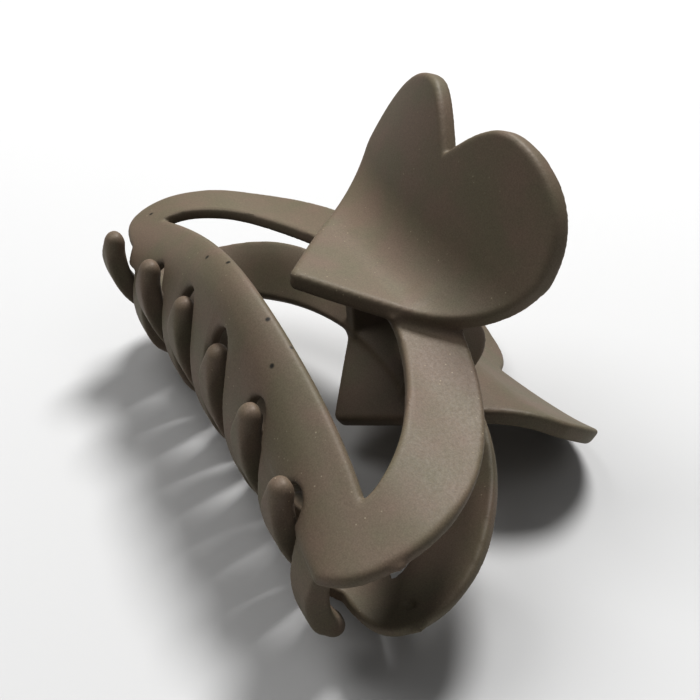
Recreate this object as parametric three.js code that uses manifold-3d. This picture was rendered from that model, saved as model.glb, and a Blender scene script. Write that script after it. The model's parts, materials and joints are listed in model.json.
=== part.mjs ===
// Claw hair clip with heart-shaped thumb tabs, in millimetres, +Z up.
//
// Two identical moulded jaws face each other and turn on one steel pin, and a torsion spring
// round the pin holds them shut with their teeth crossed. Each jaw is one moulding: a cupped
// frame with a D-shaped window, six curved teeth, two hinge ears and a heart tab.
//
// A jaw is drawn upright: X along the hinge pin, Z up, the pin's axis at y = z = 0, the jaw on
// the -Y side and its teeth at the bottom. The other jaw is the same moulding turned half a
// turn about Z. The finished clip is then laid on its rear jaw, as it lies on a table.
import * as THREE from "three";
import { mergeVertices } from "three/addons/utils/BufferGeometryUtils.js";
import Module from "manifold-3d";

const wasm = await Module();
wasm.setup();

// ---- Driving dimensions ----
const HALF_LENGTH = 50; // the clip is twice this long
const WALL = 2.0; // thickness of the jaw's wall

// The jaw's side profile at mid-length, from the top edge down: distance from the middle plane, height.
const PROFILE = [
  [9.8, 6],
  [10.1, -1],
  [12.1, -8.5],
  [17.2, -16.5],
  [19.5, -23],
  [18.3, -27],
  [14.8, -30.2],
  [10.0, -32.6],
  [4.0, -34.4],
];
// The wall closes in towards the ends: the share of the profile's depth that is lost there.
const BOW = 0.72;
const BOW_EASE = 12.3; // rounds the bow off at mid-length
const BOW_RETURN = 0.115; // and this share comes back at the very end

// Outline of the jaw, seen from the front: half an ellipse for the arch, and a round below each end.
const TOP_HEIGHT = 2.6; // top edge at mid-length
const END_HEIGHT = -26; // height at which the jaw is longest
// Points that steer the rounds: distance from mid-length, height.
const TOOTHED_END = [[HALF_LENGTH, -31.2], [48.6, -34.6]]; // runs into the side of the last tooth
const OPEN_END = [[HALF_LENGTH, -30.6], [47.8, -33.6], [39.2, -33.5]]; // stops above the other jaw's tooth

// Window, seen from the front.
const WINDOW_HALF = 40;
const WINDOW_SILL = -26; // height of its two corners
const WINDOW_RISE = 20.2; // arch above the corners
const WINDOW_ARCH_POWER = 1.32;
const SILL_RISE = 3.4; // lower edge above the corners at mid-length

// Teeth. Both jaws' teeth stand half a pitch apart, so each row is a quarter pitch off centre.
const TEETH = 6;
const PITCH = 14.5;
const FIRST_TOOTH = -2.25 * PITCH;
const TIP_REACH = 11.2; // how far a tip crosses the middle plane, at mid-length
const TIP_REACH_LOSS = 0.27; // share of it lost towards the ends
const TIP_HEIGHT = -38.1; // tips at the clip's ends
const TIP_ARCH = 6.1; // and how much higher the middle tips are
const ARCH_FROM = 22; // depth below the pin at which the wall starts to follow that arch
const ARCH_TO = 32; // and from which it follows it fully
const ROOT_WIDTH = 8.6;
const TIP_WIDTH = 4.2;
const TIP_THICKNESS = 3.5;
const SAG = 0.22; // depth of a tooth's sweep below its tip, as a share of its reach
const ROOT_RISE = 4.4; // a tooth starts in the wall, this much above its tip
const ROOT_RUN = 0.33; // and keeps to the wall's slope for about this share of the wall's depth
const SIDE_DROP = 0.2; // the wall's corners beside a tooth, below the height of its tip
const VALLEY_FOOT = 0.4; // the foot of each valley, below the height of the tips
const VALLEY_DEPTH = 2.85;

// Heart tab: a plate of its own thickness, flat at its tip, then bent outwards to a flare.
const TAB_THICKNESS = 2.9;
const TAB_TIP = [-16.85, -16.9]; // y, z of the outer face at the heart's tip
const TAB_LEAN = 68.4; // slope of the flat part, degrees from +Y
const TAB_FLARE = 145; // slope of the flare
const TAB_FLAT = 11.7; // length of the flat part
const TAB_BEND = 13; // length of the bend
const TAB_CUPPING = 0.017; // curvature across the flare, 1/mm
const HEART_LENGTH = 42.7;
const HEART_HALF_WIDTH = 26.2;
const HEART_WIDEST = 26.6; // distance of the widest place from the tip
const LOBE_TOP = 11.3; // distance of each lobe's top from the centre line
const NOTCH = 34.8; // distance of the notch from the tip

// Hinge.
const PIN_RADIUS = 1.0;
const PIN_HALF_LENGTH = 14.2;
const BORE_RADIUS = 1.35;
const OUTER_EAR = { from: 10.2, to: 13.8, radius: 6.2 };
const INNER_EAR = { from: 6.2, to: 9.8, radius: 4.6 };

// Torsion spring.
const WIRE_RADIUS = 0.55;
const COIL_RADIUS = 2.9;
const COIL_TURNS = 8;
const COIL_HALF_LENGTH = 5.2;
const SPRING_LEG = 10.5;

// Lying pose: turn about the pin's direction that brings the clip down onto its rear jaw.
const LYING_TURN = THREE.MathUtils.degToRad(-74.8);

const TAUPE = { color: 0x6e6459, roughness: 0.62, metalness: 0 };
const STEEL = { color: 0xb4b6b9, roughness: 0.32, metalness: 1 };

const power = (value, exponent) => Math.sign(value) * Math.abs(value) ** exponent;
const bezier = (...points) => new THREE.CubicBezierCurve(
  ...points.map(([a, b]) => new THREE.Vector2(a, b)),
);

// ---- Joining and cutting ----
function solidOf(geometry) {
  const bare = geometry.index ? geometry.toNonIndexed() : geometry.clone();
  bare.deleteAttribute("normal");
  bare.deleteAttribute("uv");
  const merged = mergeVertices(bare, 1e-4);
  const corners = merged.index.array;
  const triVerts = [];
  for (let i = 0; i < corners.length; i += 3) {
    const [a, b, c] = corners.slice(i, i + 3);
    if (a !== b && b !== c && c !== a) triVerts.push(a, b, c);
  }
  return new wasm.Manifold(
    new wasm.Mesh({
      numProp: 3,
      vertProperties: merged.attributes.position.array,
      triVerts: new Uint32Array(triVerts),
    }),
  );
}

function meshOf(name, solid, look) {
  const { vertProperties, triVerts } = solid.getMesh();
  const geometry = new THREE.BufferGeometry();
  geometry.setAttribute("position", new THREE.BufferAttribute(vertProperties, 3));
  geometry.setIndex(new THREE.BufferAttribute(triVerts, 1));
  geometry.computeVertexNormals();
  const mesh = new THREE.Mesh(geometry, new THREE.MeshStandardMaterial(look));
  mesh.name = name;
  return mesh;
}

// A closed skin through loops of points: each loop joins the next, and fans close both ends.
function loft(loops) {
  const points = [];
  const add = (a, b, c) => points.push(a, b, c);
  for (let i = 0; i + 1 < loops.length; i++) {
    const [low, high] = [loops[i], loops[i + 1]];
    low.forEach((point, j) => {
      const next = (j + 1) % low.length;
      add(point, low[next], high[next]);
      add(point, high[next], high[j]);
    });
  }
  for (const [loop, flip] of [[loops[0], true], [loops.at(-1), false]]) {
    const centre = loop.reduce((sum, p) => sum.add(p), new THREE.Vector3()).divideScalar(loop.length);
    loop.forEach((point, j) => {
      const next = loop[(j + 1) % loop.length];
      if (flip) add(centre, next, point);
      else add(centre, point, next);
    });
  }
  return new THREE.BufferGeometry().setFromPoints(points);
}

// A curved plate between two faces: at(u, v, side) gives its points, side 0 outside and 1 inside.
function plate(at, rows, columns) {
  const points = [];
  const quad = (a, b, c, d) => points.push(a, b, c, a, c, d);
  const corner = (i, j, side) => at(i / rows, j / columns, side);
  for (let i = 0; i < rows; i++)
    for (let j = 0; j < columns; j++) {
      quad(corner(i, j, 0), corner(i, j + 1, 0), corner(i + 1, j + 1, 0), corner(i + 1, j, 0));
      quad(corner(i, j, 1), corner(i + 1, j, 1), corner(i + 1, j + 1, 1), corner(i, j + 1, 1));
    }
  for (let i = 0; i < rows; i++) {
    quad(corner(i, 0, 0), corner(i + 1, 0, 0), corner(i + 1, 0, 1), corner(i, 0, 1));
    quad(corner(i + 1, columns, 0), corner(i, columns, 0), corner(i, columns, 1), corner(i + 1, columns, 1));
  }
  for (let j = 0; j < columns; j++) {
    quad(corner(0, j + 1, 0), corner(0, j, 0), corner(0, j, 1), corner(0, j + 1, 1));
    quad(corner(rows, j, 0), corner(rows, j + 1, 0), corner(rows, j + 1, 1), corner(rows, j, 1));
  }
  return new THREE.BufferGeometry().setFromPoints(points);
}

// A shape drawn in x and z, made into a block that runs through the jaw from front to back.
function throughY(shape, fromY, toY) {
  const block = new THREE.ExtrudeGeometry(shape, { depth: toY - fromY, bevelEnabled: false });
  block.rotateX(Math.PI / 2);
  return block.translate(0, toY, 0);
}

// A shape drawn in y and z, made into a block from one x to another.
function throughX(shape, fromX, toX) {
  const block = new THREE.ExtrudeGeometry(shape, {
    depth: toX - fromX,
    bevelEnabled: false,
    curveSegments: 16,
  });
  block.applyMatrix4(new THREE.Matrix4().makeBasis(
    new THREE.Vector3(0, 1, 0),
    new THREE.Vector3(0, 0, 1),
    new THREE.Vector3(1, 0, 0),
  ));
  return block.translate(fromX, 0, 0);
}

// ---- The jaw's wall ----
const profileCurve = new THREE.SplineCurve(PROFILE.map(([y, z]) => new THREE.Vector2(y, z)));

// Share of the profile's depth that is left at a distance x from mid-length.
function bow(x) {
  const ease = (d) => Math.hypot(d, BOW_EASE) - BOW_EASE;
  return 1 - (BOW * ease(x)) / ease(HALF_LENGTH) + BOW_RETURN * (x / HALF_LENGTH) ** 4;
}

// Outer face of the wall: u runs down the profile. Its lower part follows the arch of the tooth tips.
function outerFace(x, u) {
  const { x: depth, y: z } = profileCurve.getPoint(u);
  const low = THREE.MathUtils.smoothstep(-z, ARCH_FROM, ARCH_TO);
  return new THREE.Vector3(x, -depth * bow(x), z - low * TIP_ARCH * (x / HALF_LENGTH) ** 2);
}

function wallPoint(x, u, inset) {
  const step = 0.004;
  const [above, below] = [Math.max(u - step, 0), Math.min(u + step, 1)];
  const down = outerFace(x, below).sub(outerFace(x, above));
  const along = outerFace(x + step, u).sub(outerFace(x - step, u));
  const outward = down.cross(along).normalize();
  return outerFace(x, u).addScaledVector(outward, -inset);
}

// Distance of the wall's outer face from the middle plane, at a place seen from the front.
function wallDepth(x, z) {
  let [low, high] = [0, 1];
  for (let i = 0; i < 24; i++) {
    const middle = (low + high) / 2;
    if (outerFace(x, middle).z > z) low = middle;
    else high = middle;
  }
  return -outerFace(x, low).y;
}

const tipHeight = (x) => TIP_HEIGHT + TIP_ARCH * (1 - (x / HALF_LENGTH) ** 2);
const toothPlaces = Array.from({ length: TEETH }, (_, k) => FIRST_TOOTH + k * PITCH);

// The outline, seen from the front: arch, rounded ends, and a valley for each tooth of the other jaw.
function jawOutline() {
  const outline = [];
  const archSteps = 26;
  for (let i = 0; i <= archSteps; i++) {
    const turn = (Math.PI * i) / archSteps;
    const rise = (TOP_HEIGHT - END_HEIGHT) * Math.sin(turn);
    outline.push([HALF_LENGTH * Math.cos(turn), END_HEIGHT + rise]);
  }
  const endSteps = 8;
  const widest = [HALF_LENGTH, END_HEIGHT];
  for (const point of bezier(widest, ...OPEN_END).getPoints(endSteps).slice(1))
    outline.push([-point.x, point.y]);
  const valleySteps = 6;
  const valleyHalf = (PITCH - ROOT_WIDTH) / 2;
  toothPlaces.forEach((x, k) => {
    for (const side of [x - ROOT_WIDTH / 2, x + ROOT_WIDTH / 2])
      outline.push([side, tipHeight(side) - SIDE_DROP]);
    if (k === TEETH - 1) return;
    const middle = x + PITCH / 2;
    for (let i = 0; i <= valleySteps; i++) {
      const turn = Math.PI * (1 - i / valleySteps);
      outline.push([
        middle + valleyHalf * Math.cos(turn),
        tipHeight(middle) - VALLEY_FOOT + VALLEY_DEPTH * Math.sin(turn),
      ]);
    }
  });
  const toothedEnd = bezier(widest, ...TOOTHED_END, outline.at(-1)).getPoints(endSteps);
  for (const point of toothedEnd.slice(1, -1).reverse()) outline.push([point.x, point.y]);
  return new THREE.Shape(outline.map(([x, z]) => new THREE.Vector2(x, z)));
}

function windowOutline() {
  const outline = [];
  const steps = 24;
  for (let i = 0; i <= steps; i++) {
    const turn = (Math.PI * i) / steps;
    const rise = WINDOW_RISE * power(Math.sin(turn), WINDOW_ARCH_POWER);
    outline.push([WINDOW_HALF * Math.cos(turn), WINDOW_SILL + rise]);
  }
  const sillSteps = 12;
  for (let i = 1; i < sillSteps; i++) {
    const share = (2 * i) / sillSteps - 1;
    outline.push([WINDOW_HALF * share, WINDOW_SILL + SILL_RISE * (1 - Math.abs(share) ** 3)]);
  }
  return new THREE.Shape(outline.map(([x, z]) => new THREE.Vector2(x, z)));
}

function jawWall() {
  const reach = HALF_LENGTH + 1;
  const skin = solidOf(plate((u, v, side) => wallPoint(reach * (1 - 2 * v), u, side * WALL), 16, 20));
  const front = -30;
  return skin
    .intersect(solidOf(throughY(jawOutline(), front, 0)))
    .subtract(solidOf(throughY(windowOutline(), front, 0)));
}

// ---- Teeth ----
// A tooth leaves the wall's lower edge, sweeps across under the hair and ends in a round tip.
function tooth(x) {
  const tipZ = tipHeight(x);
  const tipY = TIP_REACH * (1 - TIP_REACH_LOSS * (x / HALF_LENGTH) ** 2);
  const insideWall = (z) => new THREE.Vector2(-wallDepth(x, z) + WALL / 2, z);
  const root = insideWall(tipZ + ROOT_RISE);
  const slope = insideWall(tipZ + ROOT_RISE - 1).sub(root).normalize();
  const sag = SAG * (tipY - root.x);
  const path = new THREE.CubicBezierCurve(
    root,
    root.clone().addScaledVector(slope, -ROOT_RUN * root.x),
    new THREE.Vector2(tipY * 0.27, tipZ - sag),
    new THREE.Vector2(tipY, tipZ),
  );
  const sides = 8;
  const loopAt = (along, width, thickness, beyond = 0) => {
    const centre = path.getPoint(along);
    const ahead = path.getTangent(along);
    const loop = [];
    for (let j = 0; j < sides; j++) {
      const turn = (2 * Math.PI * (j + 0.5)) / sides;
      const across = (width / 2) * power(Math.cos(turn), 0.75);
      const out = (thickness / 2) * power(Math.sin(turn), 0.75);
      const y = centre.x + beyond * ahead.x + out * ahead.y;
      const bowed = y < 0 ? bow(x + across) / bow(x) : 1; // the root follows the bow of the wall
      loop.push(new THREE.Vector3(x + across, y * bowed, centre.y + beyond * ahead.y - out * ahead.x));
    }
    return loop;
  };
  const steps = 8;
  const loops = [];
  for (let i = 0; i <= steps; i++) {
    const along = i / steps;
    const width = THREE.MathUtils.lerp(ROOT_WIDTH, TIP_WIDTH, along ** 0.9);
    const thickness = THREE.MathUtils.lerp(WALL * 0.6, TIP_THICKNESS, Math.min(1, along * 1.7));
    loops.push(loopAt(along, width, thickness));
  }
  for (const turn of [0.5, 0.95, 1.3]) {
    const [shrink, beyond] = [Math.cos(turn), (TIP_WIDTH / 2) * Math.sin(turn)];
    loops.push(loopAt(1, TIP_WIDTH * shrink, TIP_THICKNESS * shrink, beyond));
  }
  return solidOf(loft(loops));
}

// ---- Heart tab ----
// Slope and place of the tab's outer face at a distance along it from the heart's tip.
const tabTrack = (() => {
  const step = 0.25;
  const stations = [];
  let [y, z] = TAB_TIP;
  for (let t = 0; t <= HEART_LENGTH + 1; t += step) {
    const bent = THREE.MathUtils.clamp((t + step / 2 - TAB_FLAT) / TAB_BEND, 0, 1);
    const slope = THREE.MathUtils.degToRad(THREE.MathUtils.lerp(TAB_LEAN, TAB_FLARE, bent));
    stations.push({ y, z, slope });
    y += step * Math.cos(slope);
    z += step * Math.sin(slope);
  }
  return (t) => {
    const place = THREE.MathUtils.clamp(t / step, 0, stations.length - 1.001);
    const [a, b] = [stations[Math.floor(place)], stations[Math.floor(place) + 1]];
    const mix = (key) => THREE.MathUtils.lerp(a[key], b[key], place % 1);
    return { y: mix("y"), z: mix("z"), slope: mix("slope") };
  };
})();

function tabPoint(x, t, inset) {
  const { y, z, slope } = tabTrack(t);
  const flared = Math.max(0, t - TAB_FLAT) / (HEART_LENGTH - TAB_FLAT);
  const depth = inset + (TAB_CUPPING * Math.sqrt(flared) * x * x) / 2;
  return new THREE.Vector3(x, y + depth * Math.sin(slope), z - depth * Math.cos(slope));
}

// Half of the heart's outline: its flank from the tip to the lobe's top, and the lobe's inner side.
const lobeTop = [LOBE_TOP, HEART_LENGTH];
const widest = [HEART_HALF_WIDTH, HEART_WIDEST];
const flank = [
  bezier([0, 0], [10.6, 8.8], [HEART_HALF_WIDTH, HEART_WIDEST - 4.9], widest),
  bezier(widest, [HEART_HALF_WIDTH, HEART_WIDEST + 10.9], [LOBE_TOP + 6.5, HEART_LENGTH], lobeTop),
];
const lobeInside = [bezier(lobeTop, [LOBE_TOP - 4.5, HEART_LENGTH], [2.4, NOTCH + 2.5], [0, NOTCH])];

// Half width of an outline made of curves, at a distance t from the heart's tip.
function widthAt(curves, t) {
  const points = curves.flatMap((curve) => curve.getPoints(120));
  for (let i = 0; i + 1 < points.length; i++) {
    const [a, b] = [points[i], points[i + 1]];
    if ((a.y - t) * (b.y - t) <= 0 && a.y !== b.y)
      return THREE.MathUtils.lerp(a.x, b.x, (t - a.y) / (b.y - a.y));
  }
  return points.at(-1).x;
}

function heartTab() {
  const rows = 20;
  const stations = [];
  for (let i = 0; i <= rows; i++) {
    const t = (HEART_LENGTH * (1 - Math.cos((Math.PI * i) / rows))) / 2;
    const inner = t <= NOTCH ? 0 : widthAt(lobeInside, t);
    const outer = i === 0 ? 0 : i === rows ? inner : widthAt(flank, t);
    stations.push({ t, inner, outer });
  }
  const half = (mirror) => solidOf(plate((u, v, side) => {
    const { t, inner, outer } = stations[Math.round(u * rows)];
    const across = mirror > 0 ? v : 1 - v;
    return tabPoint(mirror * THREE.MathUtils.lerp(inner, outer, across), t, side * TAB_THICKNESS);
  }, rows, 4));
  return half(1).add(half(-1));
}

// ---- Hinge ears ----
// An ear stands behind the tab: a round eye about the pin, with a web that runs out to the wall.
function ear({ from, to, radius }, direction) {
  const shape = new THREE.Shape();
  const webTop = tabPoint(0, TAB_FLAT + 9, TAB_THICKNESS * 0.6);
  const webFoot = tabPoint(0, TAB_FLAT - 1, TAB_THICKNESS * 0.6);
  shape.moveTo(webTop.y, webTop.z);
  shape.lineTo(webFoot.y, webFoot.z);
  shape.absarc(0, 0, radius, -Math.PI * 0.6, Math.PI * 0.55, false);
  const [low, high] = direction > 0 ? [from, to] : [-to, -from];
  return solidOf(throughX(shape, low, high));
}

function pinHole() {
  const bore = new THREE.CylinderGeometry(BORE_RADIUS, BORE_RADIUS, 4 * PIN_HALF_LENGTH, 20);
  return solidOf(bore.rotateZ(Math.PI / 2));
}

function jawSolid() {
  let jaw = jawWall().add(heartTab());
  for (const x of toothPlaces) jaw = jaw.add(tooth(x));
  jaw = jaw.add(ear(OUTER_EAR, 1)).add(ear(INNER_EAR, -1));
  return jaw.subtract(pinHole());
}

// ---- Pin and spring ----
function pinSolid() {
  const chamfer = 0.25;
  const profile = [
    [0, -PIN_HALF_LENGTH],
    [PIN_RADIUS - chamfer, -PIN_HALF_LENGTH],
    [PIN_RADIUS, -PIN_HALF_LENGTH + chamfer],
    [PIN_RADIUS, PIN_HALF_LENGTH - chamfer],
    [PIN_RADIUS - chamfer, PIN_HALF_LENGTH],
    [0, PIN_HALF_LENGTH],
  ];
  const pin = new THREE.LatheGeometry(profile.map(([r, y]) => new THREE.Vector2(r, y)), 20);
  return solidOf(pin.rotateZ(Math.PI / 2));
}

// Eight close turns round the pin, with one straight leg up behind each tab.
function springSolid() {
  const stepsPerTurn = 10;
  const points = [];
  const legTurn = THREE.MathUtils.degToRad(118); // direction of the front leg, from +Y
  const start = legTurn + Math.PI / 2;
  const sweep = 2 * Math.PI * COIL_TURNS - 2 * (start - Math.PI / 2);
  const steps = Math.round((stepsPerTurn * Math.abs(sweep)) / (2 * Math.PI));
  const legEnd = (x, turn, sign) => new THREE.Vector3(
    x,
    COIL_RADIUS * Math.cos(turn) + sign * SPRING_LEG * Math.sin(turn),
    COIL_RADIUS * Math.sin(turn) - sign * SPRING_LEG * Math.cos(turn),
  );
  points.push(legEnd(-COIL_HALF_LENGTH, start, 1));
  for (let i = 0; i <= steps; i++) {
    const share = i / steps;
    const turn = start + sweep * share;
    points.push(new THREE.Vector3(
      THREE.MathUtils.lerp(-COIL_HALF_LENGTH, COIL_HALF_LENGTH, share),
      COIL_RADIUS * Math.cos(turn),
      COIL_RADIUS * Math.sin(turn),
    ));
  }
  points.push(legEnd(COIL_HALF_LENGTH, start + sweep, -1));
  const wire = [];
  const sides = 6;
  for (let j = 0; j < sides; j++) {
    const turn = (2 * Math.PI * j) / sides;
    wire.push(new THREE.Vector2(WIRE_RADIUS * Math.cos(turn), WIRE_RADIUS * Math.sin(turn)));
  }
  const route = new THREE.CurvePath();
  for (let i = 0; i + 1 < points.length; i++) route.add(new THREE.LineCurve3(points[i], points[i + 1]));
  return solidOf(new THREE.ExtrudeGeometry(new THREE.Shape(wire), {
    steps: points.length - 1,
    extrudePath: route,
    bevelEnabled: false,
  }));
}

// ---- Assembly ----
const jaw = jawSolid();
const clip = new THREE.Group();
clip.add(meshOf("front_jaw", jaw, TAUPE));
const rearJaw = meshOf("rear_jaw", jaw, TAUPE);
rearJaw.rotation.z = Math.PI;
clip.add(rearJaw);
clip.add(meshOf("hinge_pin", pinSolid(), STEEL));
clip.add(meshOf("torsion_spring", springSolid(), STEEL));
clip.rotation.x = LYING_TURN;

// The origin is the middle of the clip's footprint, on the table.
const part = new THREE.Group();
part.add(clip);
const box = new THREE.Box3().setFromObject(part, true);
clip.position.set(-(box.min.x + box.max.x) / 2, -(box.min.y + box.max.y) / 2, -box.min.z);

export default part;
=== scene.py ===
# Claw hair clip with heart-shaped thumb tabs: the looks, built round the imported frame.
#
# Both jaws are one moulding. It is worked out here as a distance field, in millimetres and in the
# jaw's own frame (X along the hinge pin, Z up, the pin's axis at y = z = 0, teeth at the bottom and
# the jaw on the -Y side), so that its edges are rounded and its corners filled as a mould's are.
# A skin is drawn over the field, and laid in the row frame, in metres, for each jaw.
import json
import math

import bpy
import numpy as np
from mathutils import Matrix, Vector


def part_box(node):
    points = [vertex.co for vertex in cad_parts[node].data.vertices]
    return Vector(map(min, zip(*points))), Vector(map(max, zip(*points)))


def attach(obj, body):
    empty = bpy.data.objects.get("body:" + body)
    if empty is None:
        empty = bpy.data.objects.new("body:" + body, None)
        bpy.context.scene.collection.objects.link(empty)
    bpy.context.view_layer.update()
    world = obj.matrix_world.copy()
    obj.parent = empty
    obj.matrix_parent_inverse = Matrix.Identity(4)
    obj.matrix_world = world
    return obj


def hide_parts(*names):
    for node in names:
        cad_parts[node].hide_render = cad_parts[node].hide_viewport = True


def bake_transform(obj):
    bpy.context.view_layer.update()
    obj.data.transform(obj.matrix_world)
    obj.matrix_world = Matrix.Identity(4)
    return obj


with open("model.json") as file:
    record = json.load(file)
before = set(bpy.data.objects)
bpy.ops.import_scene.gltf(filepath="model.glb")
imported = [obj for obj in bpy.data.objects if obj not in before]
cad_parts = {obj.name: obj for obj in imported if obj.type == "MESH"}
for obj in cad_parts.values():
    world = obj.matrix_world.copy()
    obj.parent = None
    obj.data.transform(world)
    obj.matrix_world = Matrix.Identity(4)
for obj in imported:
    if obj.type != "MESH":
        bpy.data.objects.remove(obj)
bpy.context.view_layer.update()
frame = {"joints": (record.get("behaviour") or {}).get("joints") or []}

MM = 0.001
HINGE = Vector(frame["joints"][0]["pos_m"])
LYING_TURN = math.radians(-74.8)  # brings the upright clip down onto its rear jaw
LAY = Matrix.Translation(HINGE) @ Matrix.Rotation(LYING_TURN, 4, "X")

# ---- Driving dimensions, in millimetres ----
HALF_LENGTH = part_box("front_jaw")[1].x / MM
WALL = 2.0
PROFILE = [
    (9.8, 6), (10.1, -1), (12.1, -8.5), (17.2, -16.5), (19.5, -23),
    (18.3, -27), (14.8, -30.2), (10.0, -32.6), (4.0, -34.4),
]  # distance from the middle plane and height, at mid-length
BOW = 0.72  # share of that distance lost towards the ends
BOW_EASE = 12.3  # rounds the bow off at mid-length
BOW_RETURN = 0.115  # share that comes back at the very end

TOP_HEIGHT = 2.6  # top edge at mid-length
END_HEIGHT = -26.0  # height at which the jaw is longest
TOOTHED_END = [(HALF_LENGTH, -31.2), (48.6, -34.6)]  # steer the rounds below the jaw's ends
OPEN_END = [(HALF_LENGTH, -30.6), (47.8, -33.6), (39.2, -33.5)]

WINDOW_HALF = 40.0
WINDOW_SILL = -26.0  # height of its two corners
WINDOW_RISE = 20.2  # arch above the corners
WINDOW_ARCH_POWER = 1.32
SILL_RISE = 3.4  # lower edge above the corners, at mid-length
PAST_CORNER_SLOPE = 3  # the arch's line runs on down at this slope

TEETH = 6
PITCH = 14.5
FIRST_TOOTH = -2.25 * PITCH  # the two jaws' teeth stand half a pitch apart
TIP_REACH = 11.2  # how far a tip crosses the middle plane, at mid-length
TIP_REACH_LOSS = 0.27  # share of it lost towards the ends
TIP_HEIGHT = -38.1  # tips at the clip's ends
TIP_ARCH = 6.1  # and how much higher the middle tips are
ARCH_FROM, ARCH_TO = 22.0, 32.0  # depths between which the wall takes up that arch
ROOT_WIDTH = 8.6
TIP_WIDTH = 4.2
ROOT_THICKNESS = 0.6 * WALL
TIP_THICKNESS = 3.5
THICKENING = 1.7  # growth of the thickness along a tooth, until it is full
TIP_ROUNDING = 0.86  # share of a tooth's length from which its corners grow rounder
TIP_TAPER = 0.78  # below 1, so a tip's round runs out longer than a ball's
SAG = 0.22  # depth of a tooth's sweep below its tip, as a share of its reach
ROOT_RISE = 4.4  # a tooth starts in the wall, this much above its tip
ROOT_RUN = 0.33  # and keeps to the wall's slope for about this share of the wall's depth
SIDE_DROP = 0.2  # the wall's corners beside a tooth, below the height of its tip
VALLEY_FOOT = 0.4  # the foot of each valley, below the height of the tips
VALLEY_DEPTH = 2.85

TAB_THICKNESS = 2.9
TAB_TIP = (-16.85, -16.9)  # y, z of the outer face at the heart's tip
TAB_LEAN = 68.4  # slope of the flat part, in degrees from +Y
TAB_FLARE = 145.0  # slope of the flare
TAB_FLAT = 11.7  # length of the flat part
TAB_BEND = 13.0  # length of the bend
TAB_CUPPING = 0.017  # curvature across the flare's end, per millimetre
CUPPING_EASE = 0.12  # share of the flare over which the cupping sets in
TAB_LEAD = 3.0  # run of the tab's line before the tip, and past the flare
TAB_STEP = 0.5  # spacing of the line's points
HEART_LENGTH = 42.7
HEART_HALF_WIDTH = 26.2
HEART_WIDEST = 26.6  # distance of the widest place from the tip
HEART_TIP_RADIUS = 1.4
HEART_TIP_STEER = (10.6, 8.8)  # steers the flanks where they leave the tip
LOBE_TOP = 11.3  # distance of each lobe's top from the centre line
NOTCH = 34.8  # distance of the notch from the tip

PIN_RADIUS = 1.0
PIN_HALF_LENGTH = 14.2
BORE_RADIUS = 1.35
OUTER_EAR = (10.2, 13.8, 6.2)  # from, to, radius
INNER_EAR = (-9.8, -6.2, 4.6)

WIRE_RADIUS = 0.55
COIL_RADIUS = 2.9
COIL_TURNS = 8
COIL_HALF_LENGTH = 5.2
SPRING_LEG = 10.5
SPRING_LEG_TURN = 118.0  # direction of the front leg, in degrees from +Y

EDGE = 0.35  # rounding of the moulding's edges
END_EDGE_GAIN = 0.75  # added to it at the jaw's two ends
SILL_EDGE = 1.3
TAB_EDGE = 0.7
BORE_EDGE = 0.2
TAB_FILLET = 0.8  # filling of the corners where parts of the moulding meet
EAR_FILLET = 0.6
GATE_FILLET = 0.15

GATE_HEIGHT = -26.8  # broken-off gate on each end of the jaw
EJECTOR = (46.2, -26.3)  # ejector pins' marks on the inner face, near both ends
# Pinholes on the front jaw: the shade inside each hole is painted as a dark spot in the colour, not
# cut.
SHADED_PINHOLES = [
    (-45.1, -8.4, -27.4), (-12.0, -17.4, -25.7), (-6.0, -19.0, -23.9),
    (9.7, -18.3, -24.1), (15.6, -16.8, -23.3), (16.2, -15.8, -27.0),
]  # on the front jaw's outer face
WARM_TAUPE, COOL_TAUPE = (0.170, 0.129, 0.096, 1), (0.150, 0.129, 0.088, 1)

STEP = 0.39  # spacing of the field's samples
CORNERS = [(i, j, k) for i in (0, 1) for j in (0, 1) for k in (0, 1)]

# ---- Camera and lights, in metres and degrees ----
CAMERA_PLACE = Vector((0.14034, -0.07168, 0.12957))
CAMERA_AZIMUTH, CAMERA_ELEVATION, CAMERA_ROLL = 64.27, 35.15, 0.66
CAMERA_LENS = 61.31  # in millimetres, for a sensor 36 mm wide
LIGHTS = [
    ("key", (-0.375, 0.375, 0.87), 0.35, 13.0),
    ("fill", (-0.375, -0.375, 0.87), 0.6, 4.6),
    ("side", (0.5, 0.3, 0.85), 0.5, 0.5),
]  # name, place, diameter, power in watts
LIT_PLACE = Vector((0, 0, 0.025))


# ---- Fields: below zero inside, in millimetres from the surface ----
def both(a, b, radius):
    """What is inside both, with the edge between them rounded."""
    corner = np.hypot(np.maximum(a + radius, 0), np.maximum(b + radius, 0))
    return np.minimum(np.maximum(a, b), -radius) + corner


def either(a, b, radius):
    """What is inside either, with the corner between them filled."""
    corner = np.hypot(np.maximum(radius - a, 0), np.maximum(radius - b, 0))
    return np.maximum(np.minimum(a, b), radius) - corner


def smoothstep(value, low, high):
    share = np.clip((value - low) / (high - low), 0, 1)
    return share * share * (3 - 2 * share)


def polygon_field(points, across, up):
    """Distance from an outline, over a grid of its own plane."""
    p, q = np.meshgrid(across, up, indexing="ij")
    nearest = np.full(p.shape, np.inf)
    inside = np.zeros(p.shape, bool)
    for (ax, ay), (bx, by) in zip(points, np.roll(points, -1, axis=0)):
        run, rise = bx - ax, by - ay
        along = ((p - ax) * run + (q - ay) * rise) / max(run * run + rise * rise, 1e-12)
        along = np.clip(along, 0, 1)
        nearest = np.minimum(nearest, (p - ax - along * run) ** 2 + (q - ay - along * rise) ** 2)
        if ay != by:
            crosses = ((ay > q) != (by > q)) & (p < ax + (q - ay) * run / rise)
            inside ^= crosses
    return np.where(inside, -1, 1) * np.sqrt(nearest)


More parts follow.
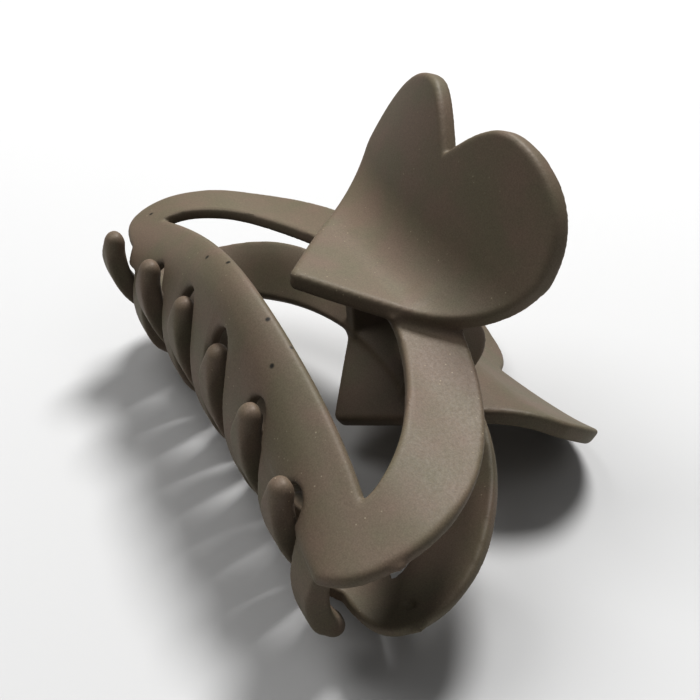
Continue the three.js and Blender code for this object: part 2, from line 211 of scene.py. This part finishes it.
def looked_up(table, across, up, p, q):
    """Values of a grid between its samples."""
    i = np.clip((p - across[0]) / (across[1] - across[0]), 0, len(across) - 1.001)
    j = np.clip((q - up[0]) / (up[1] - up[0]), 0, len(up) - 1.001)
    i0, j0 = i.astype(int), j.astype(int)
    u, v = i - i0, j - j0
    low = table[i0, j0] * (1 - v) + table[i0, j0 + 1] * v
    high = table[i0 + 1, j0] * (1 - v) + table[i0 + 1, j0 + 1] * v
    return low * (1 - u) + high * u


def track_field(track, y, z):
    """Place along a line in the side view, offset to its right, and run past its ends."""
    best = np.full(y.shape, np.inf)
    place, offset, beyond = np.zeros(y.shape), np.zeros(y.shape), np.zeros(y.shape)
    last = len(track) - 2
    for i, ((ay, az), (by, bz)) in enumerate(zip(track[:-1], track[1:])):
        run, rise = by - ay, bz - az
        length = math.hypot(run, rise)
        along = ((y - ay) * run + (z - az) * rise) / length**2
        held = np.clip(along, 0, 1)
        gap = (y - ay - held * run) ** 2 + (z - az - held * rise) ** 2
        closer = gap < best
        best = np.where(closer, gap, best)
        place = np.where(closer, i + held, place)
        side = ((y - ay) * rise - (z - az) * run) / length
        offset = np.where(closer, side, offset)
        past = np.zeros(y.shape)
        if i == 0:
            past = np.maximum(-along, 0) * length
        if i == last:
            past = past + np.maximum(along - 1, 0) * length
        beyond = np.where(closer, past, beyond)
    return place, offset, beyond


# ---- Curves ----
def bezier(points, steps):
    """A cubic curve from its two ends and the two points that steer it."""
    t = np.linspace(0, 1, steps + 1)[:, None]
    a, b, c, d = (np.array(p, float) for p in points)
    return a * (1 - t) ** 3 + 3 * b * t * (1 - t) ** 2 + 3 * c * t**2 * (1 - t) + d * t**3


def spline(points, steps):
    """A smooth line through points."""
    p = np.array([points[0], *points, points[-1]], float)
    t = np.linspace(0, 1, steps + 1)[:-1, None]
    pieces = []
    for a, b, c, d in zip(p[:-3], p[1:-2], p[2:-1], p[3:]):
        slope_b, slope_c = (c - a) / 2, (d - b) / 2
        pieces.append(
            (2 * b - 2 * c + slope_b + slope_c) * t**3
            + (-3 * b + 3 * c - 2 * slope_b - slope_c) * t**2
            + slope_b * t + b
        )
    return np.vstack([*pieces, p[-1:]])


def bow(x):
    """Share of the profile's depth that is left at a distance x from mid-length."""
    ease = np.hypot(x, BOW_EASE) - BOW_EASE
    full = math.hypot(HALF_LENGTH, BOW_EASE) - BOW_EASE
    return 1 - BOW * ease / full + BOW_RETURN * (x / HALF_LENGTH) ** 4


def tip_height(x):
    """Height of the tooth tips at a distance x from mid-length."""
    return TIP_HEIGHT + TIP_ARCH * (1 - (x / HALF_LENGTH) ** 2)


PROFILE_LINE = spline(PROFILE, 24)


def wall_depth(x, z):
    """Distance of the wall's outer face from the middle plane, for one x and some heights."""
    depth, height = PROFILE_LINE.T
    low = smoothstep(-height, ARCH_FROM, ARCH_TO)
    height = height - low * TIP_ARCH * (x / HALF_LENGTH) ** 2
    return np.interp(z, height[::-1], depth[::-1]) * bow(x)


# ---- The grid ----
xs = np.arange(-HALF_LENGTH - 1.5, HALF_LENGTH + 1.5, STEP)
ys = np.arange(-33.0, 15.0, STEP)
zs = np.arange(-42.0, 23.0, STEP)
X, Y, Z = xs[:, None, None], ys[None, :, None], zs[None, None, :]
side_y, side_z = np.meshgrid(ys, zs, indexing="ij")


# ---- The jaw's wall ----
def jaw_outline():
    """The outline seen from the front: arch, rounded ends, a valley for each of the other's teeth."""
    turn = np.linspace(0, math.pi, 91)
    arch_z = END_HEIGHT + (TOP_HEIGHT - END_HEIGHT) * np.sin(turn)
    outline = list(zip(HALF_LENGTH * np.cos(turn), arch_z))
    widest = (HALF_LENGTH, END_HEIGHT)
    outline += [(-x, z) for x, z in bezier([widest, *OPEN_END], 24)[1:]]
    valley_half = (PITCH - ROOT_WIDTH) / 2
    places = [FIRST_TOOTH + k * PITCH for k in range(TEETH)]
    for place in places:
        for side in (place - ROOT_WIDTH / 2, place + ROOT_WIDTH / 2):
            outline.append((side, tip_height(side) - SIDE_DROP))
        if place == places[-1]:
            break
        middle = place + PITCH / 2
        for turn in np.linspace(math.pi, 0, 19):
            rise = VALLEY_DEPTH * math.sin(turn) - VALLEY_FOOT
            outline.append((middle + valley_half * math.cos(turn), tip_height(middle) + rise))
    toothed_end = bezier([widest, *TOOTHED_END, outline[-1]], 24)
    return outline + [tuple(point) for point in toothed_end[-2:0:-1]]


def window_edges(x):
    """Height and slope of the window's lower and upper edges at a distance x from mid-length."""
    share = np.abs(x) / WINDOW_HALF
    sill = WINDOW_SILL + SILL_RISE * (1 - share**3)
    sill_slope = 3 * SILL_RISE * share**2 / WINDOW_HALF
    open_part = np.maximum(1 - share**2, 1e-4)
    arch = WINDOW_SILL + WINDOW_RISE * open_part ** (WINDOW_ARCH_POWER / 2)
    past_corner = WINDOW_SILL - PAST_CORNER_SLOPE * WINDOW_HALF * (share - 1)
    arch = np.where(share < 1, arch, past_corner)
    arch_slope = WINDOW_RISE * WINDOW_ARCH_POWER * share / WINDOW_HALF
    arch_slope = arch_slope * open_part ** (WINDOW_ARCH_POWER / 2 - 1)
    arch_slope = np.where(share < 1, arch_slope, PAST_CORNER_SLOPE)
    return sill, sill_slope, arch, arch_slope


def wall_field():
    """The cupped wall within its outline, with the window cut out and the edges rounded."""
    outer_y = np.array([-wall_depth(x, zs) for x in xs])
    slope_x, slope_z = np.gradient(outer_y, STEP)
    length = np.sqrt(1 + slope_x**2 + slope_z**2)
    depth = (Y - outer_y[:, None, :]) / length[:, None, :]  # inwards from the outer face
    foot_x = X + depth * (slope_x / length)[:, None, :]
    foot_z = Z + depth * (slope_z / length)[:, None, :]
    flat = polygon_field(jaw_outline(), xs, zs)
    rim = looked_up(flat, xs, zs, foot_x, foot_z)
    sill, sill_slope, arch, arch_slope = window_edges(foot_x)
    above_sill = (foot_z - sill) / np.hypot(1, sill_slope)
    below_arch = (arch - foot_z) / np.hypot(1, arch_slope)

    at_end = smoothstep(np.abs(foot_x), 38.0, 44.0) * smoothstep(-foot_z, 12.0, 20.0)
    outside = both(-depth, rim, EDGE + END_EDGE_GAIN * at_end)
    band = both(outside, below_arch, EDGE)
    beam = both(outside, above_sill, SILL_EDGE)

    # Each ejector pin leaves a shallow round pit with a raised ring about it.
    from_mark = np.hypot(np.abs(foot_x) - EJECTOR[0], foot_z - EJECTOR[1])
    pit = 0.7 * (1 - smoothstep(from_mark, 0.75, 1.15))
    ring = 0.12 * np.exp(-((from_mark - 1.5) / 0.25) ** 2)
    inner_face = depth - WALL + (pit - ring)
    return both(np.minimum(band, beam), inner_face, EDGE)


def add_gates(field):
    """Stubs left on the jaw's two ends where the moulding was broken off its runner."""
    y = -float(wall_depth(HALF_LENGTH, GATE_HEIGHT)) + WALL * 0.55
    for end in (-HALF_LENGTH, HALF_LENGTH):
        for rise, radius in ((0, 0.6), (-0.9, 0.4), (0.8, 0.45)):
            from_middle = np.sqrt((X - end * 0.997) ** 2 + (Y - y) ** 2 + (Z - GATE_HEIGHT - rise) ** 2)
            field = either(field, from_middle - radius, GATE_FILLET)
    return field


# ---- Teeth ----
def tooth_track(x):
    """The middle of a tooth in the side view: down inside the wall, then across to the tip."""
    tip_y = TIP_REACH * (1 - TIP_REACH_LOSS * (x / HALF_LENGTH) ** 2)
    tip_z = tip_height(x)
    rise = np.array([ROOT_RISE - 1, ROOT_RISE])
    below, root = zip(WALL / 2 - wall_depth(x, tip_z + rise), tip_z + rise)
    slope = np.subtract(below, root) / math.dist(below, root)
    sag = SAG * (tip_y - root[0])
    follow = root - ROOT_RUN * root[0] * slope
    return bezier([root, follow, (tip_y * 0.27, tip_z - sag), (tip_y, tip_z)], 24)


def add_tooth(field, x):
    """A tooth that leaves the wall's lower edge, sweeps across and ends in a round tip."""
    track = tooth_track(x)
    near_x = np.where(np.abs(xs - x) < ROOT_WIDTH / 2 + 1.5)[0]
    near_y = np.where((ys > track[:, 0].min() - 4) & (ys < track[:, 0].max() + 4))[0]
    near_z = np.where((zs > track[:, 1].min() - 4) & (zs < track[:, 1].max() + 4))[0]
    y, z = np.meshgrid(ys[near_y], zs[near_z], indexing="ij")
    for i in near_x:
        across = abs(xs[i] - x)
        bowed = np.where(y < 0, y * bow(x) / bow(xs[i]), y)
        place, offset, beyond = track_field(track, bowed, z)
        along = place / (len(track) - 1)
        width = ROOT_WIDTH + (TIP_WIDTH - ROOT_WIDTH) * along**0.9
        grown = np.minimum(1, along * THICKENING)
        thickness = ROOT_THICKNESS + (TIP_THICKNESS - ROOT_THICKNESS) * grown
        corner = EDGE + (thickness / 2 - EDGE) * smoothstep(along, TIP_ROUNDING, 1.0)
        past = beyond * np.where(along > 0.5, TIP_TAPER, 1.0)
        from_side, from_face = across - width / 2, np.abs(offset) - thickness / 2
        sideways = np.maximum(from_side + corner, 0)
        outwards = np.maximum(from_face + corner, 0)
        within = np.minimum(np.maximum(from_side, from_face) + corner, 0)
        tooth = np.sqrt(sideways**2 + outwards**2 + past**2) + within - corner
        # The corner is filled only past the wall: where the two run together, filling would swell them.
        fillet = (0.05 + 0.95 * smoothstep(along, 0.2, 0.5))[None]
        block = np.ix_([i], near_y, near_z)
        field[block] = either(field[block], tooth[None], fillet)


# ---- Heart tab ----
def tab_track():
    """The tab's outer face in the side view, with a straight run before the tip and past the flare."""
    places = np.arange(-TAB_LEAD, HEART_LENGTH + TAB_LEAD, TAB_STEP)
    bent = np.clip((places + TAB_STEP / 2 - TAB_FLAT) / TAB_BEND, 0, 1)
    slope = np.radians(TAB_LEAN + (TAB_FLARE - TAB_LEAN) * bent)
    y = np.concatenate([[0], np.cumsum(TAB_STEP * np.cos(slope))])
    z = np.concatenate([[0], np.cumsum(TAB_STEP * np.sin(slope))])
    tip = int(round(TAB_LEAD / TAB_STEP))
    return np.stack([y - y[tip] + TAB_TIP[0], z - z[tip] + TAB_TIP[1]], 1)


def heart_outline():
    """Right half from the tip up, then the left half back down."""
    widest = (HEART_HALF_WIDTH, HEART_WIDEST)
    top = (LOBE_TOP, HEART_LENGTH)
    flank = bezier([(0, 0), HEART_TIP_STEER, (HEART_HALF_WIDTH, HEART_WIDEST - 4.9), widest], 40)
    lobe = bezier(
        [widest, (HEART_HALF_WIDTH, HEART_WIDEST + 10.9), (LOBE_TOP + 6.5, HEART_LENGTH), top], 30
    )
    inside = bezier([top, (LOBE_TOP - 4.5, HEART_LENGTH), (2.4, NOTCH + 2.5), (0, NOTCH)], 24)

    # The tip is an arc that touches both flanks.
    lean = math.atan2(*HEART_TIP_STEER)
    centre = HEART_TIP_RADIUS / math.sin(lean)
    touching = HEART_TIP_RADIUS / math.tan(lean)
    tip = [
        (HEART_TIP_RADIUS * math.sin(turn), centre - HEART_TIP_RADIUS * math.cos(turn))
        for turn in np.linspace(0, math.pi / 2 - lean, 8)
    ]
    flank = [point for point in flank if math.hypot(*point) > touching * 1.05]
    right = np.vstack([tip, flank, lobe[1:], inside[1:]])
    left = right[-2:0:-1] * (-1, 1)
    return np.vstack([right, left])


def tab_field():
    """The heart, and the space just behind its face, which the wall keeps clear of."""
    place, offset, beyond = track_field(tab_track(), side_y, side_z)
    along = place * TAB_STEP - TAB_LEAD
    flared = np.clip((along - TAB_FLAT) / (HEART_LENGTH - TAB_FLAT), 0, 1)
    eased = (1 + CUPPING_EASE) * flared**1.5 / (flared + CUPPING_EASE)
    cupping = (TAB_CUPPING * eased)[None]
    steepness = np.hypot(1, cupping * X)
    depth = (offset[None] - cupping * X * X / 2) / steepness
    reach = np.arange(-TAB_LEAD, HEART_LENGTH + TAB_LEAD + TAB_STEP, 0.35)
    heart = polygon_field(heart_outline(), xs, reach)
    rim = looked_up(heart, xs, reach, X + 0 * place[None], along[None] + 0 * X)
    outside = both(-depth, rim, TAB_EDGE)
    tab = both(both(outside, depth - TAB_THICKNESS, TAB_EDGE), beyond[None] - 0.5, 0.1)
    behind_face = np.maximum(depth - 1.0, rim + 0.2)  # a millimetre deep, and short of the rim
    return tab, behind_face


# ---- Hinge ears ----
def ear_field(start, end, radius):
    """A round eye about the pin, with a web that runs out into the tab."""
    track = tab_track()

    def behind_tab(place):
        """A point within the tab's thickness, at a distance along it from the heart's tip."""
        i = int(round((place + TAB_LEAD) / TAB_STEP))
        run, rise = track[i + 1] - track[i - 1]
        length = math.hypot(run, rise)
        return track[i] + 0.6 * TAB_THICKNESS * np.array([rise, -run]) / length

    web = [behind_tab(TAB_FLAT + 9), behind_tab(TAB_FLAT - 1)]
    turn = np.linspace(-0.6 * math.pi, 0.55 * math.pi, 48)
    eye = radius * np.stack([np.cos(turn), np.sin(turn)], 1)
    flat = polygon_field(np.vstack([web, eye]), ys, zs)
    middle, half = (start + end) / 2, (end - start) / 2
    return both(flat[None], np.abs(X - middle) - half, EDGE)


def jaw_field():
    """The whole moulding: wall, tab, teeth, ears and gates, with the pin's bore through it."""
    tab, behind_face = tab_field()
    wall = np.maximum(wall_field(), -behind_face)
    field = either(wall, tab, TAB_FILLET).astype(np.float32)
    for k in range(TEETH):
        add_tooth(field, FIRST_TOOTH + k * PITCH)
    for ear in (OUTER_EAR, INNER_EAR):
        field = either(field, ear_field(*ear), EAR_FILLET)
    field = add_gates(field)
    bore = BORE_RADIUS - np.hypot(Y, Z)
    near_pin = np.abs(X) < PIN_HALF_LENGTH + 1
    return np.where(near_pin, both(field, bore, BORE_EDGE), field)


# ---- Skin over a field ----
def sampled(field, points):
    """The field and its slope at points, between its samples."""
    place = (points - (xs[0], ys[0], zs[0])) / STEP
    place = np.clip(place, 0, np.array(field.shape) - 1.001)
    base = place.astype(int)
    share = place - base
    value, slope = np.zeros(len(points)), np.zeros_like(points)
    for corner in CORNERS:
        sample = field[tuple((base + corner).T)]
        u, v, w = np.where(corner, share, 1 - share).T
        sign = 2 * np.array(corner) - 1
        value += u * v * w * sample
        slope += np.stack([v * w, u * w, u * v], 1) * sign * sample[:, None]
    return value, slope / STEP


def skin(field):
    """Points and four-sided faces over the places where the field is zero."""
    inside = field < 0
    shape = np.array(field.shape) - 1

    def part(i, j, k):
        return (slice(i, shape[0] + i), slice(j, shape[1] + j), slice(k, shape[2] + k))

    count = sum(inside[part(*corner)].astype(np.int8) for corner in CORNERS)
    cells = np.argwhere((count > 0) & (count < 8))
    number = np.full(shape, -1)
    number[tuple(cells.T)] = np.arange(len(cells))

    total, crossings = np.zeros((len(cells), 3)), np.zeros(len(cells))
    for axis in range(3):
        for corner in CORNERS:
            if corner[axis]:
                continue
            a = cells + corner
            b = a + np.eye(3, dtype=int)[axis]
            value_a, value_b = field[tuple(a.T)], field[tuple(b.T)]
            crossed = (value_a < 0) != (value_b < 0)
            share = np.where(crossed, value_a / np.where(crossed, value_a - value_b, 1), 0)
            point = a + share[:, None] * np.eye(3)[axis]
            total += point * crossed[:, None]
            crossings += crossed
    points = total / crossings[:, None] * STEP + (xs[0], ys[0], zs[0])

    faces = []
    for axis in range(3):
        one, two = [k for k in range(3) if k != axis]
        step = np.eye(3, dtype=int)
        a = inside[tuple(slice(0, n - (k == axis)) for k, n in enumerate(field.shape))]
        b = inside[tuple(slice(int(k == axis), n) for k, n in enumerate(field.shape))]
        edges = np.argwhere(a != b)
        leaving = a[tuple(edges.T)]
        around = [step[one] * p + step[two] * q for p, q in ((0, 0), (1, 0), (1, 1), (0, 1))]
        quads = np.stack([number[tuple((edges - shift).T)] for shift in around], 1)
        turned = leaving if axis != 1 else ~leaving
        quads[~turned] = quads[~turned][:, ::-1]
        faces.append(quads)
    return points, np.vstack(faces)


def relaxed(points, faces, field, rounds):
    """Evens out the skin's points and puts them back on the field's zero."""
    start, end = np.concatenate([faces[:, (k, (k + 1) % 4)] for k in range(4)]).T
    count = len(points)
    degree = np.bincount(start, minlength=count) + np.bincount(end, minlength=count)

    def average(spots):
        """Moves each point most of the way to the mean of its neighbours."""
        total = np.zeros_like(spots)
        for axis in range(3):
            total[:, axis] = np.bincount(start, spots[end, axis], count)
            total[:, axis] += np.bincount(end, spots[start, axis], count)
        return spots * 0.4 + total / degree[:, None] * 0.6

    for _ in range(rounds):
        points = average(points)
        for _ in range(2):
            value, slope = sampled(field, points)
            steep = np.maximum((slope**2).sum(1), 0.2)
            points = points - (value / steep)[:, None] * slope
    return average(average(points))


def mesh_object(name, points, faces, matrix):
    """A smooth-shaded piece, from points in millimetres and a matrix into the row frame."""
    mesh = bpy.data.meshes.new(name)
    placed = points * MM @ np.array(matrix.to_3x3()).T + np.array(matrix.translation)
    sides = faces.shape[1]
    mesh.vertices.add(len(points))
    mesh.vertices.foreach_set("co", placed.astype(np.float32).ravel())
    mesh.loops.add(faces.size)
    mesh.loops.foreach_set("vertex_index", faces.astype(np.int32).ravel())
    mesh.polygons.add(len(faces))
    mesh.polygons.foreach_set("loop_start", np.arange(0, faces.size, sides, dtype=np.int32))
    mesh.polygons.foreach_set("use_smooth", np.ones(len(faces), bool))
    mesh.update(calc_edges=True)
    mesh.validate()
    thing = bpy.data.objects.new(name, mesh)
    bpy.context.scene.collection.objects.link(thing)
    return thing


# ---- Pin and spring ----
def swept(loops):
    """Points and faces of a skin through rings of points, with a point in the middle of each end."""
    count, sides = len(loops), len(loops[0])
    points = np.vstack([*loops, loops[0].mean(0), loops[-1].mean(0)])
    faces = []
    for i in range(count - 1):
        for j in range(sides):
            k = (j + 1) % sides
            faces.append((i * sides + j, i * sides + k, (i + 1) * sides + k, (i + 1) * sides + j))
    first, last = count * sides, count * sides + 1
    for j in range(0, sides, 2):
        k, m = (j + 1) % sides, (j + 2) % sides
        faces.append((first, m, k, j))
        base = (count - 1) * sides
        faces.append((last, base + j, base + k, base + m))
    return points, np.array(faces)


def pin_shape():
    """A drawn wire with its cut ends slightly domed."""
    rounding = 0.2
    profile = [(-PIN_HALF_LENGTH, 0.35), (-PIN_HALF_LENGTH + 0.03, 0.7)]
    for turn in np.linspace(0, math.pi / 2, 5):
        x = -PIN_HALF_LENGTH + 0.3 - rounding * math.cos(turn)
        profile.append((x, PIN_RADIUS - rounding + rounding * math.sin(turn)))
    profile += [(-x, radius) for x, radius in reversed(profile)]
    turns = np.linspace(0, 2 * math.pi, 48, endpoint=False)
    around = np.stack([np.zeros(48), np.cos(turns), np.sin(turns)], 1)
    return swept([np.array((x, 0, 0)) + radius * around for x, radius in profile])


def spring_shape():
    """Close turns round the pin, with one straight leg up behind each tab."""
    start = math.radians(SPRING_LEG_TURN) + math.pi / 2
    sweep = 2 * math.pi * COIL_TURNS - 2 * (start - math.pi / 2)
    share = np.linspace(0, 1, 36 * COIL_TURNS)
    turn = start + sweep * share
    x = COIL_HALF_LENGTH * (2 * share - 1)
    coil = np.stack([x, COIL_RADIUS * np.cos(turn), COIL_RADIUS * np.sin(turn)], 1)

    def leg(coil_end, turn, direction):
        along = np.array([0, math.sin(turn), -math.cos(turn)]) * direction
        return coil_end + np.linspace(0.4, SPRING_LEG, 12)[:, None] * along

    front_leg = leg(coil[0], start, 1)
    rear_leg = leg(coil[-1], start + sweep, -1)
    route = np.vstack([front_leg[::-1], coil, rear_leg])
    ahead = np.gradient(route, axis=0)
    ahead /= np.linalg.norm(ahead, axis=1)[:, None]
    sideways = np.cross(ahead, (1, 0, 0))
    sideways /= np.linalg.norm(sideways, axis=1)[:, None]
    upwards = np.cross(ahead, sideways)
    radii = np.full(len(route), WIRE_RADIUS)
    radii[[0, -1]] *= 0.8  # the cut ends are a little smaller
    turns = np.linspace(0, 2 * math.pi, 14, endpoint=False)[:, None]
    return swept([
        point + radius * (np.cos(turns) * side + np.sin(turns) * up)
        for point, side, up, radius in zip(route, sideways, upwards, radii)
    ])


# ---- Materials ----
def new_material(name):
    material = bpy.data.materials.new(name)
    material.use_nodes = True
    tree = material.node_tree
    return material, tree, tree.nodes["Principled BSDF"]


def grey(level):
    return (level, level, level, 1)


def stretched_place(tree, scale):
    """Places in the object's own space, multiplied along each axis."""
    place = tree.nodes.new("ShaderNodeTexCoord")
    stretch = tree.nodes.new("ShaderNodeMapping")
    stretch.inputs["Scale"].default_value = scale
    tree.links.new(place.outputs["Object"], stretch.inputs["Vector"])
    return stretch.outputs["Vector"]


def noise(tree, place, scale, detail):
    node = tree.nodes.new("ShaderNodeTexNoise")
    node.inputs["Scale"].default_value = scale
    node.inputs["Detail"].default_value = detail
    tree.links.new(place, node.inputs["Vector"])
    return node.outputs["Fac"]


def ramp(tree, value, *stops):
    """Two stops, each a position and a colour."""
    node = tree.nodes.new("ShaderNodeValToRGB")
    for element, (position, colour) in zip(node.color_ramp.elements, stops):
        element.position = position
        element.color = colour
    tree.links.new(value, node.inputs["Fac"])
    return node.outputs["Color"]


def mixed(tree, blend, a, b):
    node = tree.nodes.new("ShaderNodeMix")
    node.data_type = "RGBA"
    node.blend_type = blend
    node.inputs["Factor"].default_value = 1
    tree.links.new(a, node.inputs["A"])
    tree.links.new(b, node.inputs["B"])
    return node.outputs["Result"]


def distance_to(tree, place, points):
    """Distance from the nearest of some places in the front jaw's own frame, in millimetres."""
    best = None
    for point in points:
        gap = tree.nodes.new("ShaderNodeVectorMath")
        gap.operation = "DISTANCE"
        gap.inputs[1].default_value = (LAY @ (Vector(point) * MM)) / MM
        tree.links.new(place, gap.inputs[0])
        if best is None:
            best = gap.outputs["Value"]
            continue
        least = tree.nodes.new("ShaderNodeMath")
        least.operation = "MINIMUM"
        tree.links.new(best, least.inputs[0])
        tree.links.new(gap.outputs["Value"], least.inputs[1])
        best = least.outputs["Value"]
    return best


def add_bump(tree, shader, height, strength, depth):
    bump = tree.nodes.new("ShaderNodeBump")
    bump.inputs["Strength"].default_value = strength
    bump.inputs["Distance"].default_value = depth
    tree.links.new(height, bump.inputs["Height"])
    tree.links.new(bump.outputs["Normal"], shader.inputs["Normal"])


def jaw_plastic():
    """Matte taupe plastic with a fine spark-eroded grain, pale dust, and painted shade at a few
    pinholes.
    """
    material, tree, shader = new_material("jaw_plastic")
    place = stretched_place(tree, (1 / MM, 1 / MM, 1 / MM))  # in millimetres
    black, white = grey(0), grey(1)

    tint = ramp(tree, noise(tree, place, 0.14, 3), (0.35, WARM_TAUPE), (0.65, COOL_TAUPE))
    grain = ramp(tree, noise(tree, place, 4.5, 2), (0.25, grey(0.84)), (0.75, grey(1.16)))
    colour = mixed(tree, "MULTIPLY", tint, grain)

    dust = tree.nodes.new("ShaderNodeTexVoronoi")
    dust.inputs["Scale"].default_value = 0.75
    tree.links.new(place, dust.inputs["Vector"])
    specks = ramp(tree, dust.outputs["Distance"], (0.05, (0.13, 0.12, 0.09, 1)), (0.12, black))
    patches = ramp(tree, noise(tree, place, 0.09, 1), (0.48, black), (0.62, white))
    colour = mixed(tree, "ADD", colour, mixed(tree, "MULTIPLY", specks, patches))

    # Painted shade: a dark spot at each pinhole stands in for the shade inside the hole.
    pinhole_shade = ramp(tree, distance_to(tree, place, SHADED_PINHOLES), (0.22, grey(0.12)), (0.5, white))
    colour = mixed(tree, "MULTIPLY", colour, pinhole_shade)
    tree.links.new(colour, shader.inputs["Base Color"])

    finish = ramp(tree, noise(tree, place, 2.2, 3), (0.3, grey(0.52)), (0.7, grey(0.6)))
    tree.links.new(finish, shader.inputs["Roughness"])
    shader.inputs["Specular IOR Level"].default_value = 0.35
    add_bump(tree, shader, noise(tree, place, 5, 3), 0.2, 0.00004)
    return material


def wire_steel(name, shade, roughness, scale):
    """Drawn steel wire: faint marks along the wire, and a little tarnish."""
    material, tree, shader = new_material(name)
    marks = noise(tree, stretched_place(tree, scale), 1, 4)
    ranges = {"Base Color": (shade * 0.75, shade), "Roughness": (roughness, roughness + 0.15)}
    for socket, (low, high) in ranges.items():
        value = ramp(tree, marks, (0.3, grey(low)), (0.7, (high, high, high * 1.02, 1)))
        tree.links.new(value, shader.inputs[socket])
    shader.inputs["Metallic"].default_value = 1.0
    add_bump(tree, shader, marks, 0.15, 0.00005)
    return material


# ---- Camera, lights and floor ----
def add_camera():
    """Looks down along the clip from its +X end, on the teeth's side."""
    data = bpy.data.cameras.new("camera")
    data.sensor_width = 36
    data.lens = CAMERA_LENS
    data.clip_start = 0.01
    camera = bpy.data.objects.new("camera", data)
    bpy.context.scene.collection.objects.link(camera)
    azimuth = Matrix.Rotation(math.radians(CAMERA_AZIMUTH), 4, "Z")
    tilt = Matrix.Rotation(math.pi / 2 - math.radians(CAMERA_ELEVATION), 4, "X")
    roll = Matrix.Rotation(math.radians(CAMERA_ROLL), 4, "Z")
    camera.matrix_world = Matrix.Translation(CAMERA_PLACE) @ azimuth @ tilt @ roll
    bpy.context.scene.camera = camera


def add_light(name, place, size, power):
    """A soft round light that faces the clip."""
    data = bpy.data.lights.new(name, "AREA")
    data.shape = "DISK"
    data.size = size
    data.energy = power
    light = bpy.data.objects.new(name, data)
    light.location = place
    light.rotation_euler = (LIT_PLACE - Vector(place)).to_track_quat("-Z", "Y").to_euler()
    bpy.context.scene.collection.objects.link(light)


def add_surroundings():
    """Soft studio light, and a plain pale floor under the clip."""
    for light in LIGHTS:
        add_light(*light)
    world = bpy.data.worlds.new("studio")
    world.use_nodes = True
    world.node_tree.nodes["Background"].inputs["Color"].default_value = grey(1)
    world.node_tree.nodes["Background"].inputs["Strength"].default_value = 0.25
    bpy.context.scene.world = world
    look = bpy.context.scene.view_settings
    look.view_transform = "Standard"
    look.gamma = 0.77

    bpy.ops.mesh.primitive_plane_add(size=6, location=(0, 0, -0.0001))
    floor = bpy.context.object
    floor.name = "floor"
    paper, _, shader = new_material("floor_paper")
    shader.inputs["Base Color"].default_value = grey(0.54)
    shader.inputs["Roughness"].default_value = 0.9
    floor.data.materials.append(paper)


# ---- Making ----
add_camera()
plastic = jaw_plastic()
field = jaw_field()
points, faces = skin(field)
points = relaxed(points, faces, field, 3)
for body, turn in (("front_jaw", 0), ("rear_jaw", math.pi)):
    jaw = mesh_object(body + "_moulding", points, faces, LAY @ Matrix.Rotation(turn, 4, "Z"))
    jaw.data.materials.append(plastic)
    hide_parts(body)
    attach(jaw, body)

pin = mesh_object("hinge_pin_drawn", *pin_shape(), LAY)
pin.data.materials.append(wire_steel("pin_steel", 0.62, 0.24, (60, 3000, 3000)))
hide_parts("hinge_pin")
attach(pin, "rear_jaw")

spring = mesh_object("torsion_spring_wire", *spring_shape(), LAY)
spring.data.materials.append(wire_steel("spring_steel", 0.6, 0.2, (2500, 400, 400)))
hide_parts("torsion_spring")
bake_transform(spring)

add_surroundings()
